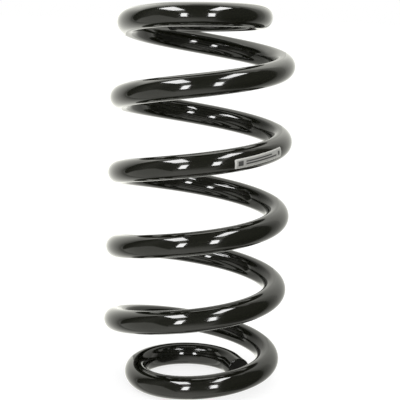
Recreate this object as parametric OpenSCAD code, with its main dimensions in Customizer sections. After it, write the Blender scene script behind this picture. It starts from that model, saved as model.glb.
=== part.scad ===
// Suspension spring: one round steel wire wound right-handed, with a smaller closed coil at
// each end. The lower end coil lies level on the ground, the body leans a little over it, and
// the upper end coil tilts a little further. Millimetres, +Z up, with the origin on the ground
// at the centre of the lower end coil and +X towards the lower tip.

/* [Wire] */
// Diameter of the wire over its coat
wire_d = 15; // [11:0.5:18]
// Width of the broken edge round each sheared tip
tip_edge = 0.7; // [0.3:0.1:1.5]

/* [Body] */
// Mean diameter of the body's coils
body_d = 105.5; // [90:0.5:130]
// Rise of the body in one turn
pitch = 49.1; // [36:0.1:60]
// Turns of wire from tip to tip
all_turns = 6.37; // [5.4:0.01:7.8]
// Angle that the body leans from square to the lower end coil
lean = 4.1; // [0:0.1:5]
// Way that the body leans, counted from +X towards +Y
lean_way = 80; // [0:5:355]

/* [Lower end coil] */
// Mean diameter of the coil at the lower tip
lower_d = 58.5; // [52:0.5:78]
// Turns at the lower tip where the wire runs straight
lower_straight = 0.06; // [0:0.01:0.1]
// Turns that lie level from the lower tip
lower_level = 0.57; // [0.5:0.01:0.8]
// Turns that bend from level up to the body's rise
lower_ease = 0.52; // [0.2:0.01:0.6]
// Turns that widen from the lower tip to the body
lower_taper = 1.26; // [0.9:0.01:1.6]

/* [Upper end coil] */
// Mean diameter of the coil at the upper tip
upper_d = 62; // [54:1:80]
// Angle that the upper end coil tilts from level
upper_tilt = 6.5; // [0:0.5:10]
// Way that the upper end coil tilts down, counted from +X towards +Y
upper_tilt_way = 100; // [0:5:355]
// Turns that lie in one plane up to the upper tip
upper_level = 0.69; // [0.45:0.01:0.7]
// Turns that bend from the body's rise into that plane
upper_ease = 0.18; // [0.1:0.01:0.5]
// Turns that narrow from the body to the upper end coil
upper_taper = 1.14; // [0.8:0.01:1.4]
// Turns of one diameter up to the upper tip
upper_round = 0; // [0:0.01:0.3]

/* [Label] */
// Length of the label along the outer side of the wire
label_l = 39; // [20:1:60]
// Width of the label round the wire
label_w = 6.3; // [4:0.1:10]
// Thickness of the label
label_t = 0.2; // [0.1:0.05:0.4]
// Radius of the label's corners
label_corner = 0.8; // [0.2:0.1:1.8]
// Turns of wire from the lower tip to the middle of the label
label_turn = 3.86; // [2:0.01:4.2]
// Angle round the wire from its outer side up to the middle of the label
label_up = -4; // [-40:1:40]
// Angle round the wire that the label climbs from end to end
label_skew = 13; // [-20:1:20]
// Film of glue between the coat and the label
glue_t = 0.05; // [0.04:0.01:0.1]

/* [Hidden] */

wire_r = wire_d / 2;
// How far the body's coils and the upper end coil fall with each millimetre along +X and +Y;
// the body's axis runs out as far with each millimetre up
body_fall = tan(lean) * [cos(lean_way), sin(lean_way)];
upper_fall = tan(upper_tilt) * [cos(upper_tilt_way), sin(upper_tilt_way)];
// Turns in a short step along the wire
small_turn = 0.002;
// Flats round the wire, rings along it, and rings, corner rings and strips of the label
wire_sides = 20;
coil_rings = 268;
label_rings = 14;
corner_rings = 5;
label_strips = 6;

// 0 up to s = 0, 1 from s = 1 on, and a smooth change between them
function smooth(s) = let (c = min(max(s, 0), 1)) c * c * (3 - 2 * c);

// Turns risen after the turn u when the slope grows from level over the turns in ease
function risen(u, ease) = u < 0 ? 0 : u < ease ? u * u / (2 * ease) : u - ease / 2;

// Radius of the round coil at the turn t, counted from the lower tip
function round_r(t) =
    body_d / 2
    - (body_d - lower_d) / 2 * (1 - smooth(t / lower_taper))
    - (body_d - upper_d) / 2 * smooth((t - all_turns + upper_round) / upper_taper + 1);

// Radius of the coil at the turn t, where the straight end runs off the round at a tangent
function coil_r(t) = round_r(t) / cos(360 * max(lower_straight - t, 0));

// Height of the wire's centre over the level lower coil at the turn t, before any lean
function coil_rise(t) =
    pitch * (risen(t - lower_level, lower_ease)
    - risen(t - all_turns + upper_level + upper_ease, upper_ease));

// How far the coil falls at the turn t with each millimetre along +X and +Y: level at the lower
// end coil, then as the body and last as the upper end coil
function coil_fall(t) =
    smooth((t - lower_level) / lower_ease) * body_fall
    + smooth((t - all_turns + upper_level) / upper_ease + 1) * (upper_fall - body_fall);

// Centre of the wire at the turn t
function centre(t) =
    let (out = coil_r(t) * [cos(360 * t), sin(360 * t)], up = coil_rise(t))
    [
        out.x + body_fall.x * up,
        out.y + body_fall.y * up,
        wire_r + up - out * coil_fall(t)
    ];

function unit(v) = v / norm(v);

// A short step along the wire at the turn t, towards the upper tip
function step(t) = centre(t + small_turn / 2) - centre(t - small_turn / 2);

// Direction of the wire at the turn t, towards the upper tip
function along(t) = unit(step(t));

// Direction at the turn t that points away from the coil's axis, square to the wire
function outward(t) =
    let (flat = [cos(360 * t), sin(360 * t), 0], a = along(t))
    unit(flat - (flat * a) * a);

// Point at the turn t, as far from the wire's centre as r says and at an angle round the wire,
// counted from its outer side upwards
function round_wire(t, r, angle) =
    let (out = outward(t), up = cross(out, along(t)))
    centre(t) + r * (cos(angle) * out + sin(angle) * up);

// Round section of the wire at the turn t
function wire_ring(t, r) = [for (k = [0:wire_sides - 1]) round_wire(t, r, 360 * k / wire_sides)];

// Closed solid over a row of sections that have equally many points
module skin(rings) {
    n = len(rings[0]);
    last = len(rings) - 1;
    // Two triangles between each pair of points and the same pair of the next section
    sides = [
        for (i = [0:last - 1], k = [0:n - 1])
            let (a = i * n + k, b = i * n + (k + 1) % n)
            each [[a, b, b + n], [a, b + n, a + n]]
    ];
    first_cap = [for (k = [n - 1:-1:0]) k];
    last_cap = [for (k = [0:n - 1]) last * n + k];
    polyhedron([for (ring = rings, point = ring) point], concat([first_cap], sides, [last_cap]));
}

// The wire, with a flat sheared face and a broken edge at each tip
module coil() {
    lower_edge = tip_edge * small_turn / norm(step(0));
    upper_edge = tip_edge * small_turn / norm(step(all_turns));
    span = all_turns - lower_edge - upper_edge;
    color([0.1, 0.1, 0.09])
        skin(concat(
            [wire_ring(0, wire_r - tip_edge)],
            [for (i = [0:coil_rings]) wire_ring(lower_edge + span * i / coil_rings, wire_r)],
            [wire_ring(all_turns, wire_r - tip_edge)]
        ));
}

// How much narrower each side of the label is, at a distance from its nearer end
function corner_cut(d) =
    d >= label_corner ? 0
    : label_corner - sqrt(label_corner * label_corner - pow(label_corner - d, 2));

// Section of the label, at a distance along it from its middle: the outer face, then the inner
function label_ring(d) =
    let (
        inner_r = wire_r + glue_t,
        outer_r = inner_r + label_t,
        t = label_turn + d / (2 * PI * (coil_r(label_turn) + wire_r)),
        half_w = label_w / 2 - corner_cut(label_l / 2 - abs(d)),
        half_angle = half_w / wire_r * 180 / PI,
        middle = label_up + label_skew * d / label_l
    )
    concat(
        [for (k = [0:label_strips])
            round_wire(t, outer_r, middle + half_angle * (2 * k / label_strips - 1))],
        [for (k = [label_strips:-1:0])
            round_wire(t, inner_r, middle + half_angle * (2 * k / label_strips - 1))]
    );

// The printed film, bent round the outer side of the wire
module label() {
    // Distances from the middle: closer together along the round corners
    corner = [for (i = [0:corner_rings - 1]) label_corner * (1 - cos(90 * i / corner_rings))];
    straight = label_l - 2 * label_corner;
    distances = concat(
        [for (c = corner) c - label_l / 2],
        [for (i = [0:label_rings]) straight * (i / label_rings - 0.5)],
        [for (i = [corner_rings - 1:-1:0]) label_l / 2 - corner[i]]
    );
    color([0.72, 0.72, 0.7])
        skin([for (d = distances) label_ring(d)]);
}

coil();
label();
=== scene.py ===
"""A suspension spring that stands on a pale floor in a white studio: one round steel wire with a
gloss black coat, wound right-handed with a smaller closed coil at each end, and a film label
glued round its fourth strand.

Metres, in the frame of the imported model: +Z up, the ground at 0, and +X towards the lower tip.
"""

import math

import bpy
import numpy as np
from mathutils import Matrix, Vector


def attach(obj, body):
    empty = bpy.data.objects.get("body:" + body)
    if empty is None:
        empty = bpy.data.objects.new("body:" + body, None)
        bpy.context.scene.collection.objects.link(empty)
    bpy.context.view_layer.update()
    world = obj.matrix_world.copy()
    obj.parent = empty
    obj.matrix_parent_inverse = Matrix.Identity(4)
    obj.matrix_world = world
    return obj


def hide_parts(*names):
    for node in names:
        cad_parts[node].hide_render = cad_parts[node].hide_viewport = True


MM = 0.001

# The wire's law, as in the solid model. Places along the wire are in turns from the lower tip.
WIRE_R = 7.5 * MM
TIP_EDGE = 0.7 * MM
BODY_D = 105.5 * MM
PITCH = 49.1 * MM
ALL_TURNS = 6.37
LOWER_D, LOWER_STRAIGHT, LOWER_LEVEL, LOWER_EASE, LOWER_TAPER = 58.5 * MM, 0.06, 0.57, 0.52, 1.26
UPPER_D, UPPER_LEVEL, UPPER_EASE, UPPER_TAPER, UPPER_ROUND = 62 * MM, 0.69, 0.18, 1.14, 0.0
SMALL_TURN = 0.002
# How far the body leans and the upper end coil tilts, and which way from +X, in degrees
LEAN, LEAN_WAY = 4.1, 80
UPPER_TILT, UPPER_TILT_WAY = 6.5, 100
# How hollow a sheared face is in its middle
FACE_HOLLOW = 0.12 * MM

# The label, and the film of glue under it
LABEL_L, LABEL_W, LABEL_T, LABEL_CORNER = 39 * MM, 6.3 * MM, 0.2 * MM, 0.8 * MM
LABEL_TURN = 3.86
LABEL_UP, LABEL_SKEW = math.radians(-4), math.radians(13)
GLUE_T = 0.05 * MM
# The field inside its pale border and the plain bars on it: left, right, low and high, each as a
# share of the label; and over what length the border and the ink fade out. The border is wide
# along the upper edge and at the left end, where its pale is a painted highlight, and thin
# elsewhere, where it is the film's own border
LABEL_FIELD = (0.03, 0.988, 0.05, 0.87)
PRINT_BARS = (
    (0.06, 0.15, 0.25, 0.75),
    (0.20, 0.86, 0.30, 0.46),
    (0.20, 0.74, 0.56, 0.70),
    (0.90, 0.95, 0.30, 0.70),
)
BORDER_AND_HIGHLIGHT_SOFT, INK_SOFT = 0.25 * MM, 0.15 * MM

# How finely the meshes are made: flats round the wire and rings along it, rings over a sheared
# face and over its rounded edge, and rings, corner rings and strips of the label
WIRE_SIDES, WIRE_RINGS = 48, 1700
FACE_RINGS, EDGE_RINGS = 9, 5
LABEL_RINGS, CORNER_RINGS, LABEL_STRIPS = 61, 9, 24

# Colours of the coat where clean and where hazy, of the film, of its pale border, which is partly a
# painted highlight, and of its ink
COAT_TONES = ("#0e0f08", "#12130c")
SHEARED_TONES = ("#10100d", "#161612")
SILVER_TONES = ("#969691", "#a8a8a3")
BORDER_AND_HIGHLIGHT_TONE, INK_TONE = "#cbcbc5", "#3a3a38"
# Sizes of the swells of the orange peel, of the patches of haze and of the film's mottle
PEEL_SIZE, HAZE_SIZE, MOTTLE_SIZE = 2.5 * MM, 18 * MM, 3 * MM
# Refractive index of epoxy and of polyester, and roughness of the film's satin
RESIN_IOR, FILM_ROUGH = 1.5, 0.45

# The floor's reach to the sides, to the front and to the back; its own glow, and the share of a
# seen ray that the glow gives
FLOOR_REACH = (3.0, -0.62, 4.0)
FLOOR_GLOW, FLOOR_SHARE = 1.3, 0.6
# Brightness of the room on the object, and watts to a square metre of lamp at brightness 1
ROOM_LIGHT, LAMP_POWER = 0.87, 4.0
# The cards: their white, how far out the bent ones stand, their feet, their tops in front and
# at the back, and places along each
CARD_WHITE = "#fffff7"
WALL_R, WALL_FOOT, FRONT_TOP, BACK_TOP, WALL_PLACES = 0.85, -1.2, 1.23, 1.4, 33

# The photograph's view: where it aims, from how far, how far down it looks and how it rolls
AIM = (2.606 * MM, 0, 123.63 * MM)
VIEW_DISTANCE = 819.41 * MM
LOOK_DOWN, ROLL = math.radians(11.599), math.radians(1.332)
# Its focal length and its width in pixels, the sensor's width in millimetres, and how near and
# how far the camera sees
FOCAL_PIXELS, PHOTO_PIXELS, SENSOR = 1248.16, 400, 36
SEEN_FROM, SEEN_TO = 0.01, 50


# The law of the wire


def fall(angle, way):
    """How far a coil that tilts by an angle falls with each step along +X and along +Y."""
    run = math.tan(math.radians(angle))
    return run * np.array([math.cos(math.radians(way)), math.sin(math.radians(way))])


BODY_FALL = fall(LEAN, LEAN_WAY)
UPPER_FALL = fall(UPPER_TILT, UPPER_TILT_WAY)


def smooth(s):
    """0 up to s = 0, 1 from s = 1 on, and a smooth change between them."""
    c = np.clip(s, 0, 1)
    return c * c * (3 - 2 * c)


def risen(u, ease):
    """Turns risen after the turn u when the slope grows from level over the turns in ease."""
    return np.where(u < 0, 0, np.where(u < ease, u * u / (2 * ease), u - ease / 2))


def coil_r(t):
    """Mean radius of the coil at the turn t; the lower end runs straight off the round."""
    lower = (BODY_D - LOWER_D) / 2 * (1 - smooth(t / LOWER_TAPER))
    upper = (BODY_D - UPPER_D) / 2 * smooth((t - ALL_TURNS + UPPER_ROUND) / UPPER_TAPER + 1)
    off_round = np.maximum(LOWER_STRAIGHT - t, 0)
    return (BODY_D / 2 - lower - upper) / np.cos(2 * math.pi * off_round)


def coil_rise(t):
    """Height of the wire's centre over the level lower coil, before any lean."""
    start = t - LOWER_LEVEL
    end = t - ALL_TURNS + UPPER_LEVEL + UPPER_EASE
    return PITCH * (risen(start, LOWER_EASE) - risen(end, UPPER_EASE))


def coil_fall(t):
    """Fall along +X and +Y: level, then that of the body, and last that of the upper end coil."""
    start = smooth((t - LOWER_LEVEL) / LOWER_EASE)[..., None]
    end = smooth((t - ALL_TURNS + UPPER_LEVEL) / UPPER_EASE + 1)[..., None]
    return start * BODY_FALL + end * (UPPER_FALL - BODY_FALL)


def centre(t):
    """Centre of the wire at the turns in t, as rows of x, y, z."""
    t = np.asarray(t, float)
    out = coil_r(t)[..., None] * np.stack([np.cos(2 * math.pi * t), np.sin(2 * math.pi * t)], -1)
    up = coil_rise(t)[..., None]
    z = WIRE_R + up - (out * coil_fall(t)).sum(-1, keepdims=True)
    return np.concatenate([out + BODY_FALL * up, z], -1)


def unit(v):
    return v / np.linalg.norm(v, axis=-1, keepdims=True)


def step(t):
    """A short step along the wire at the turns in t, towards the upper tip."""
    return centre(t + SMALL_TURN / 2) - centre(t - SMALL_TURN / 2)


def along(t):
    """Direction of the wire at the turns in t, towards the upper tip."""
    return unit(step(t))


def round_wire(t, r, angle):
    """Points at the turns in t, r from the wire's centre, at an angle round the wire that is
    counted from its outer side upwards."""
    t = np.asarray(t, float)
    flat = np.stack([np.cos(2 * math.pi * t), np.sin(2 * math.pi * t), 0 * t], -1)
    way = along(t)
    out = unit(flat - (flat * way).sum(-1, keepdims=True) * way)
    up = np.cross(out, way)
    r, angle = np.asarray(r)[..., None], np.asarray(angle)[..., None]
    return centre(t) + r * (np.cos(angle) * out + np.sin(angle) * up)


# Meshes


def mesh_piece(name, points, faces, materials, face_material=None, smooth_faces=True):
    """A new object with its place in its mesh."""
    mesh = bpy.data.meshes.new(name)
    mesh.from_pydata(np.asarray(points).reshape(-1, 3).tolist(), [], faces)
    mesh.update()
    for material in materials:
        mesh.materials.append(material)
    if face_material is not None:
        mesh.polygons.foreach_set("material_index", face_material)
    mesh.polygons.foreach_set("use_smooth", [smooth_faces] * len(mesh.polygons))
    piece = bpy.data.objects.new(name, mesh)
    bpy.context.scene.collection.objects.link(piece)
    return piece


def tube_faces(rings, sides):
    """Quads between each closed ring of points and the next."""
    faces = []
    for i in range(rings - 1):
        for k in range(sides):
            a, b = i * sides + k, i * sides + (k + 1) % sides
            faces.append((a, b, b + sides, a + sides))
    return faces


def sheared_face(tip, side):
    """Rings from the middle of a sheared tip out to its rounded edge, as (turn, radius) rows.
    side is 1 at the lower tip and -1 at the upper one."""
    per_metre = side * SMALL_TURN / np.linalg.norm(step(np.array(tip)))
    rows = []
    for i in range(1, FACE_RINGS + 1):
        share = i / FACE_RINGS
        hollow = FACE_HOLLOW * math.cos(share * math.pi / 2)
        rows.append((tip + hollow * per_metre, (WIRE_R - TIP_EDGE) * share))
    for i in range(1, EDGE_RINGS + 1):
        a = math.pi / 2 * i / EDGE_RINGS
        back, inward = TIP_EDGE * (1 - math.cos(a)), TIP_EDGE * (1 - math.sin(a))
        rows.append((tip + back * per_metre, WIRE_R - inward))
    return rows


def coil_piece(coat, sheared):
    """The whole wire: a round skin, with a sheared face and a rounded edge at each tip."""
    lower, upper = sheared_face(0.0, 1), sheared_face(ALL_TURNS, -1)
    run = np.linspace(lower[-1][0], upper[-1][0], WIRE_RINGS + 1)[1:-1]
    rows = lower + [(t, WIRE_R) for t in run] + upper[::-1]
    turns, radii = np.array(rows).T[..., None]
    angles = np.arange(WIRE_SIDES) * 2 * math.pi / WIRE_SIDES
    points = round_wire(turns, radii, angles).reshape(-1, 3)
    faces = tube_faces(len(rows), WIRE_SIDES)
    last = len(points) - WIRE_SIDES
    middles = [points[:WIRE_SIDES].mean(0), points[last:].mean(0)]
    points = np.concatenate([points, middles])
    first_middle, last_middle = len(points) - 2, len(points) - 1
    for k in range(WIRE_SIDES):
        n = (k + 1) % WIRE_SIDES
        faces.append((first_middle, n, k))
        faces.append((last_middle, last + k, last + n))
    # Both sheared faces take the second material, and so do the fans in their middles
    face_quads = (FACE_RINGS - 1) * WIRE_SIDES
    side_quads = (len(rows) - 1) * WIRE_SIDES - 2 * face_quads
    is_face = [1] * face_quads + [0] * side_quads + [1] * (face_quads + 2 * WIRE_SIDES)
    return mesh_piece("wound_wire", points, faces, [coat, sheared], is_face)


def corner_cut(d):
    """How much narrower each side of the label is, at a distance from its nearer end."""
    left = np.clip(LABEL_CORNER - d, 0, LABEL_CORNER)
    return LABEL_CORNER - np.sqrt(LABEL_CORNER**2 - left**2)


def label_piece(film):
    """The film label, bent round the outer side of the wire, with rounded corners."""
    # Distances from its middle: closer together along the round corners
    corner = LABEL_CORNER * (1 - np.cos(np.linspace(0, math.pi / 2, CORNER_RINGS)))[:-1]
    straight = LABEL_L / 2 - LABEL_CORNER
    d = np.concatenate([corner - LABEL_L / 2, np.linspace(-straight, straight, LABEL_RINGS),
                        LABEL_L / 2 - corner[::-1]])
    across = np.linspace(-1, 1, LABEL_STRIPS + 1)
    turns = (LABEL_TURN + d / (2 * math.pi * (coil_r(LABEL_TURN) + WIRE_R)))[:, None]
    half = (LABEL_W / 2 - corner_cut(LABEL_L / 2 - abs(d))) / WIRE_R
    middle = LABEL_UP + LABEL_SKEW * d / LABEL_L
    angle = middle[:, None] + half[:, None] * across
    outer = round_wire(turns, WIRE_R + GLUE_T + LABEL_T, angle)
    inner = round_wire(turns, WIRE_R + GLUE_T, angle)[:, ::-1]
    rings = np.concatenate([outer, inner], 1)
    sides = rings.shape[1]
    points = rings.reshape(-1, 3)
    faces = tube_faces(len(d), sides)
    last = len(points) - sides
    for k in range(LABEL_STRIPS):
        a, b = k, k + 1
        c, e = sides - 1 - k, sides - 2 - k
        faces.append((b, a, c, e))
        faces.append((last + a, last + b, last + e, last + c))
    piece = mesh_piece("film_label", points, faces, [film])
    # Places on the label for its print: 0 to 1 along it, and 0 to 1 across it
    u = np.repeat(d / LABEL_L + 0.5, sides)
    v = (half[:, None] * np.concatenate([across, across[::-1]]) * WIRE_R / LABEL_W + 0.5).ravel()
    layer = piece.data.uv_layers.new(name="print")
    corners = np.zeros(len(piece.data.loops), np.int32)
    piece.data.loops.foreach_get("vertex_index", corners)
    layer.uv.foreach_set("vector", np.stack([u[corners], v[corners]], 1).astype(np.float32).ravel())
    return piece


# Materials


def linear(hex_colour):
    """A #rrggbb sRGB colour as linear red, green, blue and alpha."""
    parts = [int(hex_colour[i:i + 2], 16) / 255 for i in (1, 3, 5)]
    return [p / 12.92 if p <= 0.04045 else ((p + 0.055) / 1.055) ** 2.4 for p in parts] + [1.0]


def node(tree, kind, values=None, links=None, **settings):
    """Adds a node with its settings, the values of its sockets and the links into them."""
    made = tree.nodes.new(kind)
    for name, value in settings.items():
        setattr(made, name, value)
    for socket, value in (values or {}).items():
        made.inputs[socket].default_value = value
    for socket, source in (links or {}).items():
        tree.links.new(source, made.inputs[socket])
    return made


def combined(tree, operation, first, second):
    """Two values taken together: their product with MULTIPLY, the greater with MAXIMUM."""
    return node(tree, "ShaderNodeMath", links={0: first, 1: second}, operation=operation).outputs[0]


def new_material(name):
    material = bpy.data.materials.new(name)
    material.use_nodes = True
    material.node_tree.nodes.clear()
    return material, material.node_tree


def powder_coat(name, tones, rough, peel):
    """Gloss black epoxy powder coat, sprayed dry and baked: a deep, wet-looking skin that mirrors
    the lamps crisply, with a faint orange peel and a little handling haze. tones and rough are
    its colour and roughness where clean and where hazy, and peel is the height of its swells."""
    material, tree = new_material(name)
    place = node(tree, "ShaderNodeTexCoord").outputs["Object"]
    # Orange peel: soft swells, so many to a metre
    swell = node(tree, "ShaderNodeTexNoise",
                 {"Scale": 1 / PEEL_SIZE, "Detail": 1.0, "Roughness": 0.4}, {"Vector": place})
    # Handling haze: patches where the gloss is a little duller, from clean below the first bound
    # of the noise to hazy above the second
    haze = node(tree, "ShaderNodeTexNoise",
                {"Scale": 1 / HAZE_SIZE, "Detail": 4.0, "Roughness": 0.6}, {"Vector": place})
    dull = node(tree, "ShaderNodeMapRange",
                {"From Min": 0.4, "From Max": 0.75, "To Min": rough[0], "To Max": rough[1]},
                {"Value": haze.outputs["Fac"]})
    bump = node(tree, "ShaderNodeBump", {"Strength": 1.0, "Distance": peel},
                {"Height": swell.outputs["Fac"]})
    tone = node(tree, "ShaderNodeMix", {"A": linear(tones[0]), "B": linear(tones[1])},
                {"Factor": haze.outputs["Fac"]}, data_type="RGBA")
    coat = node(tree, "ShaderNodeBsdfPrincipled", {"IOR": RESIN_IOR},
                {"Base Color": tone.outputs["Result"], "Roughness": dull.outputs["Result"],
                 "Normal": bump.outputs["Normal"]})
    node(tree, "ShaderNodeOutputMaterial", links={"Surface": coat.outputs["BSDF"]})
    return material


def label_film(name):
    """Matt silver polyester film, screen printed with plain bars: a satin grey skin with a pale
    border, whose wide bands along the upper edge and the left end are a painted highlight, and flat
    dull ink where the real one has its print."""
    material, tree = new_material(name)
    place = node(tree, "ShaderNodeUVMap", uv_map="print").outputs["UV"]
    split = node(tree, "ShaderNodeSeparateXYZ", links={"Vector": place})

    def between(value, low, high, soft):
        """1 where value lies from low to high, with soft edges."""
        rise, drop = [node(tree, "ShaderNodeMapRange", {"From Min": start, "From Max": end},
                           {"Value": value}).outputs["Result"]
                      for start, end in ((low - soft, low + soft), (high + soft, high - soft))]
        return combined(tree, "MULTIPLY", rise, drop)

    def inside(box, soft):
        """1 inside a box on the label, whose edges fade over the length soft to each side."""
        left, right, low, high = box
        return combined(tree, "MULTIPLY",
                        between(split.outputs["X"], left, right, soft / LABEL_L),
                        between(split.outputs["Y"], low, high, soft / LABEL_W))

    ink = inside(PRINT_BARS[0], INK_SOFT)
    for bar in PRINT_BARS[1:]:
        ink = combined(tree, "MAXIMUM", ink, inside(bar, INK_SOFT))
    mottle = node(tree, "ShaderNodeTexNoise", {"Scale": 1 / MOTTLE_SIZE, "Detail": 3.0},
                  {"Vector": node(tree, "ShaderNodeTexCoord").outputs["Object"]})
    silver = node(tree, "ShaderNodeMix",
                  {"A": linear(SILVER_TONES[0]), "B": linear(SILVER_TONES[1])},
                  {"Factor": mottle.outputs["Fac"]}, data_type="RGBA")
    # The pale border: a thin one all round is the film's own; the wide bands along its upper edge
    # and left end are a painted highlight
    border_and_highlight = node(tree, "ShaderNodeMix", {"A": linear(BORDER_AND_HIGHLIGHT_TONE)},
                 {"Factor": inside(LABEL_FIELD, BORDER_AND_HIGHLIGHT_SOFT), "B": silver.outputs["Result"]},
                 data_type="RGBA")
    tone = node(tree, "ShaderNodeMix", {"B": linear(INK_TONE)},
                {"Factor": ink, "A": border_and_highlight.outputs["Result"]}, data_type="RGBA")
    film = node(tree, "ShaderNodeBsdfPrincipled", {"IOR": RESIN_IOR, "Roughness": FILM_ROUGH},
                {"Base Color": tone.outputs["Result"]})
    node(tree, "ShaderNodeOutputMaterial", links={"Surface": film.outputs["BSDF"]})
    return material


# Floor, room, lamps and cards


def seen_rays(tree):
    """1 for rays from the camera and for rays that gloss or glass sends on, else 0."""
    path = node(tree, "ShaderNodeLightPath")
    seen = combined(tree, "MAXIMUM", path.outputs["Is Camera Ray"], path.outputs["Is Glossy Ray"])
    return combined(tree, "MAXIMUM", seen, path.outputs["Is Transmission Ray"])


def white_floor():
    """A plain white table top. Seen rays get part of their white from the surface's own glow,
    so that it fades into the white round it and still keeps the object's shadow."""
    material, tree = new_material("white_table")
    paint = node(tree, "ShaderNodeBsdfDiffuse", {"Color": linear("#f2f2f2")})
    glow = node(tree, "ShaderNodeEmission", {"Color": linear("#ffffff"), "Strength": FLOOR_GLOW})
    share = node(tree, "ShaderNodeMath", {1: FLOOR_SHARE}, {0: seen_rays(tree)},
                 operation="MULTIPLY")
    mix = node(tree, "ShaderNodeMixShader",
               links={0: share.outputs[0], 1: paint.outputs[0], 2: glow.outputs[0]})
    node(tree, "ShaderNodeOutputMaterial", links={"Surface": mix.outputs[0]})
    side, front, back = FLOOR_REACH
    floor = mesh_piece("table_top",
                       [(-side, front, 0), (side, front, 0), (side, back, 0), (-side, back, 0)],
                       [(0, 1, 2, 3)], [material], smooth_faces=False)
    floor.visible_glossy = False


def white_room():
    """The world: plain light on the object, and white where the camera or a reflection looks."""
    world = bpy.data.worlds.new("white_room")
    world.use_nodes = True
    tree = world.node_tree
    tree.nodes.clear()
    plain = node(tree, "ShaderNodeBackground",
                 {"Color": linear("#ffffff"), "Strength": ROOM_LIGHT})
    white = node(tree, "ShaderNodeBackground", {"Color": linear("#ffffff"), "Strength": 1.0})
    mix = node(tree, "ShaderNodeMixShader",
               links={0: seen_rays(tree), 1: plain.outputs[0], 2: white.outputs[0]})
    node(tree, "ShaderNodeOutputWorld", links={"Surface": mix.outputs[0]})
    bpy.context.scene.world = world


def lamp(name, middle, faces, size, shine, light):
    """A rectangular soft box of a width and height, and the way it faces. shine is its brightness
    in the gloss and light its brightness on dull surfaces, where 1 is white."""
    for kind, level in (("shine", shine), ("light", light)):
        made = bpy.data.lights.new(f"{name}_{kind}", "AREA")
        made.shape = "RECTANGLE"
        made.size, made.size_y = size
        made.energy = level * LAMP_POWER * size[0] * size[1]
        box = bpy.data.objects.new(made.name, made)
        box.location = middle
        box.rotation_euler = Vector(faces).to_track_quat("-Z", "Y").to_euler()
        box.visible_camera = False
        box.visible_diffuse = kind == "light"
        box.visible_glossy = kind == "shine"
        bpy.context.scene.collection.objects.link(box)


def card(name, rows, levels):
    """A shaded card that only reflections see, as is set round a glossy object. rows are lines of
    points, and levels is the brightness at each of them, where 1 is white."""
    material, tree = new_material(name)
    level = node(tree, "ShaderNodeAttribute", attribute_name="level").outputs["Fac"]
    tone = node(tree, "ShaderNodeEmission", {"Color": linear(CARD_WHITE)}, {"Strength": level})
    node(tree, "ShaderNodeOutputMaterial", links={"Surface": tone.outputs[0]})
    count = len(rows[0])
    faces = [(i, i + 1, i + count + 1, i + count)
             for i in range((len(rows) - 1) * count) if (i + 1) % count]
    points = [p for row in rows for p in row]
    made = mesh_piece(name, points, faces, [material], smooth_faces=False)
    attribute = made.data.attributes.new("level", "FLOAT", "POINT")
    attribute.data.foreach_set("value", np.ravel(levels))
    made.visible_camera = made.visible_diffuse = False
    made.visible_shadow = made.visible_transmission = False


def wall(name, edges):
    """A card bent round the spring. Each edge, from the lowest up, is a row of (bearing, height,
    brightness): a bearing of 0 is towards the camera and 90 is +X, in degrees."""
    bearings = np.linspace(edges[0][0][0], edges[0][-1][0], WALL_PLACES)
    x, y = WALL_R * np.sin(np.radians(bearings)), -WALL_R * np.cos(np.radians(bearings))
    rows, levels = [], []
    for edge in edges:
        known, heights, tones = zip(*edge)
        rows.append(list(zip(x, y, np.interp(bearings, known, heights))))
        levels.append(np.interp(bearings, known, tones))
    card(name, rows, levels)


def near_card(name, inner, outer, shares, rows):
    """An upright card close behind the spring, from the place inner to the place outer. Each row
    is a height and the brightness there at each of the shares of the way out."""
    places = [[a + (b - a) * share for a, b in zip(inner, outer)] for share in shares]
    card(name, [[(*place, row[0]) for place in places] for row in rows], [row[1:] for row in rows])


def plain_card(name, x, y, z, level):
    """A level card over or under the spring, from x[0] to x[1] and from y[0] to y[1]."""
    card(name, [[(x[0], b, z), (x[1], b, z)] for b in y], [level] * 4)


def lamps():
    """Two soft boxes in front and two overhead."""
    strip, overhead = {"shine": 17.5, "light": 4.3}, {"shine": 15, "light": 2.9}
    back, down = (0, 1, 0), (0, 0, -1)
    lamp("left_strip", (-0.248, -0.70, 0.175), back, (0.122, 0.39), **strip)
    lamp("right_strip", (0.262, -0.70, 0.205), back, (0.134, 0.40), **strip)
    lamp("left_overhead", (-0.24, -0.232, 0.55), down, (0.17, 0.32), **overhead)
    lamp("right_overhead", (0.187, -0.23, 0.55), down, (0.115, 0.31), **overhead)


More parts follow.
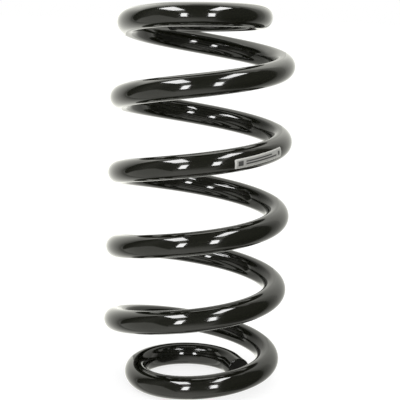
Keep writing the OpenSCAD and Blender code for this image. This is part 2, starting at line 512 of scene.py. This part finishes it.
def cards_in_front():
    """Grey cards in front and at the sides, brighter towards their feet."""
    wall("front_card", [[(-30, WALL_FOOT, 1.4), (30, WALL_FOOT, 1.2)],
                        [(-30, -0.526, 1.5), (30, -0.526, 0.9)],
                        [(-30, -0.04, 0.26), (30, -0.04, 0.25)],
                        [(-30, FRONT_TOP, 0.17), (30, FRONT_TOP, 0.17)]])
    # The pale foot of the left one rises in an arch and fades out over the length fade to each
    # side of it: bearing, height and brightness over it
    arch = ((-102, -0.21, 0.1), (-97, -0.17, 0.11), (-90, -0.06, 0.16), (-83, 0.04, 0.24),
            (-75, 0.085, 0.37), (-66, 0.19, 0.38), (-55, 0.19, 0.3), (-45, 0.03, 0.24),
            (-30, -0.35, 0.27))
    fade = 0.055
    wall("left_arch", [[(-102, WALL_FOOT, 1.0), (-30, WALL_FOOT, 1.4)],
                       [(bearing, z - fade, 1.2) for bearing, z, tone in arch],
                       [(bearing, z + fade, tone) for bearing, z, tone in arch],
                       [(bearing, FRONT_TOP, tone) for bearing, z, tone in arch]])
    wall("right_side", [[(30, WALL_FOOT, 1.1), (50, WALL_FOOT, 0.8), (70, WALL_FOOT, 0.6),
                         (103, WALL_FOOT, 0.57)],
                        [(30, -0.47, 0.6), (36, -0.7, 0.4), (50, -0.98, 0.2), (98, -0.98, 0.15),
                         (103, -0.98, 0.4)],
                        [(30, -0.24, 0.3), (40, -0.36, 0.14), (60, -0.36, 0.1), (98, -0.36, 0.08),
                         (103, -0.36, 0.45)],
                        [(30, 0.32, 0.2), (60, 0.32, 0.18), (98, 0.32, 0.12), (103, 0.32, 0.45)],
                        [(30, FRONT_TOP, 0.17), (98, FRONT_TOP, 0.17), (103, FRONT_TOP, 0.4)]])


def paper_behind():
    """Paper behind the spring, darker to the sides of it. Its rows are a height and the
    brightness there."""
    left_far = ((WALL_FOOT, 0.9, 0.6, 0.6), (-0.35, 1.5, 0.63, 0.62), (-0.05, 0.8, 0.6, 0.9),
                (0.1, 0.6, 0.56, 0.6), (0.25, 0.62, 0.6, 0.5), (0.42, 0.65, 0.64, 0.9),
                (0.52, 0.58, 0.56, 1.0), (0.62, 0.55, 0.43, 0.55), (0.75, 0.58, 0.32, 0.3),
                (0.95, 0.62, 0.32, 0.3), (BACK_TOP, 0.7, 0.5, 0.5))
    wall("left_far", [[(-167, z, a), (-155, z, b), (-125, z, b), (-114, z, c), (-102, z, c)]
                      for z, a, b, c in left_far])
    right_far = ((WALL_FOOT, 0.62), (0.1, 0.5), (0.35, 0.52), (0.8, 0.85), (BACK_TOP, 0.8))
    wall("right_far", [[(103, z, tone), (118, z, tone + 0.3), (128, z, tone), (160, z, tone),
                        (170, z, tone + 0.5)] for z, tone in right_far])
    left_paper = ((WALL_FOOT, 1.3, 1.2), (-0.35, 1.45, 1.5), (-0.03, 1.65, 0.95), (0.2, 1.2, 0.7),
                  (0.5, 1.05, 0.5), (0.8, 1.5, 0.7), (BACK_TOP, 1.5, 1.0))
    wall("left_paper", [[(-180, z, middle), (-167, z, side)] for z, middle, side in left_paper])
    right_paper = ((WALL_FOOT, 0.85), (-0.35, 1.1), (-0.1, 1.15), (0.1, 1.4), (0.25, 1.35),
                   (0.45, 1.05), (BACK_TOP, 1.2))
    wall("right_paper", [[(170, z, tone), (180, z, tone)] for z, tone in right_paper])


def cards_close_behind():
    """White cards close behind the spring: one to each side, brighter over its top, and one
    behind its top coil."""
    near_card("left_near", (-0.053, 0.0555), (-0.461, 0.112), (0, 0.14, 0.26, 0.44, 1), (
        (-0.6, 1.15, 1.15, 1.05, 0.95, 0.5),
        (-0.1, 1.35, 1.35, 1.25, 1.1, 0.5),
        (0.1, 1.7, 1.7, 1.5, 1.25, 0.5),
        (0.2, 1.9, 1.87, 1.75, 1.5, 0.58),
        (0.25, 2.15, 2.0, 1.8, 1.55, 0.68),
        (0.275, 2.6, 2.1, 1.8, 1.55, 0.72),
        (0.3, 3.5, 2.9, 2.0, 1.6, 0.78),
        (0.32, 4.1, 3.9, 2.7, 1.7, 0.8),
        (0.345, 4.1, 4.1, 3.9, 2.0, 0.85),
        (0.4, 3.6, 3.6, 3.6, 3.1, 0.97),
        (0.6, 3.4, 3.4, 3.2, 2.7, 1.7),
        (0.75, 3.3, 3.3, 3.1, 2.5, 1.85),
    ))
    near_card("right_near", (0.062, 0.064), (0.407, 0.213), (0, 0.32, 0.67, 1), (
        (-0.6, 0.7, 0.65, 0.6, 0.6),
        (-0.1, 0.85, 0.8, 0.8, 0.75),
        (0.1, 1.13, 1.04, 1.03, 0.9),
        (0.2, 1.35, 1.22, 1.1, 0.93),
        (0.25, 1.6, 1.35, 1.1, 0.95),
        (0.28, 2.1, 1.45, 1.12, 0.97),
        (0.31, 2.7, 1.65, 1.17, 1.0),
        (0.35, 3.0, 1.95, 1.2, 1.0),
        (0.4, 3.1, 2.8, 1.3, 1.05),
        (0.55, 3.1, 2.8, 2.1, 1.7),
        (0.8, 3.0, 2.8, 2.7, 2.6),
    ))
    near_card("top_near", (-0.053, 0.066), (0.062, 0.078), (0, 0.2, 0.41, 0.56, 1), (
        (0.23, 0.9, 0.5, 0.75, 0.95, 1.1),
        (0.24, 1.2, 0.6, 0.8, 1.2, 1.5),
        (0.252, 1.6, 0.8, 1.0, 1.9, 1.7),
        (0.268, 2.0, 1.0, 1.5, 2.0, 2.0),
        (0.285, 2.3, 1.3, 2.1, 2.0, 2.1),
        (0.31, 2.6, 2.0, 2.4, 2.3, 2.4),
        (0.34, 3.2, 2.8, 3.0, 3.0, 3.0),
        (0.38, 3.3, 3.3, 3.3, 3.3, 3.3),
        (0.45, 2.8, 2.8, 2.8, 2.8, 2.8),
        (0.6, 2.5, 2.5, 2.5, 2.5, 2.5),
    ))


def cards_over_and_under():
    """Plain cards over and under the spring, and the frames between the lamps."""
    # From the top of each strip to its overhead box, much dimmer than both
    for name, left, right in (("left_gap", -0.31, -0.185), ("right_gap", 0.2, 0.33)):
        card(name, [[(x, y, z) for x in (left, right)] for y, z in ((-0.7, 0.372), (-0.42, 0.55))],
             [1.3] * 4)
    plain_card("over_front", (-WALL_R, WALL_R), (-WALL_R, 0), FRONT_TOP, 0.19)
    plain_card("over_back", (-1, 1), (0, 1.5), BACK_TOP, 1.3)
    plain_card("below_front", (-1, 1), (-1, -0.3), WALL_FOOT, 1.3)
    plain_card("below_left", (-1, 0), (-0.3, 1), WALL_FOOT, 0.93)
    plain_card("below_right", (0, 1), (-0.3, 1), WALL_FOOT, 0.7)


def camera():
    """At the photograph's place: a long lens 819 mm from the spring's middle, looking 11.6
    degrees down, with a slight roll."""
    made = bpy.data.cameras.new("camera")
    made.sensor_width = SENSOR
    made.lens = FOCAL_PIXELS / PHOTO_PIXELS * SENSOR
    made.clip_start, made.clip_end = SEEN_FROM, SEEN_TO
    eye = bpy.data.objects.new("camera", made)
    back = Vector((0, -math.cos(LOOK_DOWN), math.sin(LOOK_DOWN)))
    eye.location = Vector(AIM) + VIEW_DISTANCE * back
    turned = Matrix.Rotation(math.pi / 2 - LOOK_DOWN, 3, "X") @ Matrix.Rotation(ROLL, 3, "Z")
    eye.rotation_euler = turned.to_euler()
    bpy.context.scene.collection.objects.link(eye)
    bpy.context.scene.camera = eye


# The scene

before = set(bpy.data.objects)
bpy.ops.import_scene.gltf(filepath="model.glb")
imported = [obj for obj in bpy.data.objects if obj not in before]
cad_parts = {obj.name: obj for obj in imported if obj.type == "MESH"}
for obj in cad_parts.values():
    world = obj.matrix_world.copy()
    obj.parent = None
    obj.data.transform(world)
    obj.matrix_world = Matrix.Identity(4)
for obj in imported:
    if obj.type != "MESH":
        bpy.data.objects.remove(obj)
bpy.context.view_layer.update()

camera()
white_room()
white_floor()
lamps()
cards_in_front()
paper_behind()
cards_close_behind()
cards_over_and_under()

coat = powder_coat("gloss_black_powder_coat", COAT_TONES, rough=(0.06, 0.12), peel=0.008 * MM)
# The same coat over the torn steel of a sheared face: rougher, duller and more uneven
sheared = powder_coat("coat_on_sheared_steel", SHEARED_TONES, rough=(0.25, 0.4), peel=0.25 * MM)
film = label_film("printed_polyester_film")

wire = coil_piece(coat, sheared)
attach(wire, "root")
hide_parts("coil")

label = label_piece(film)
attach(label, "root")
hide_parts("label")

bpy.context.scene.view_settings.view_transform = "Standard"

bpy.context.view_layer.update()
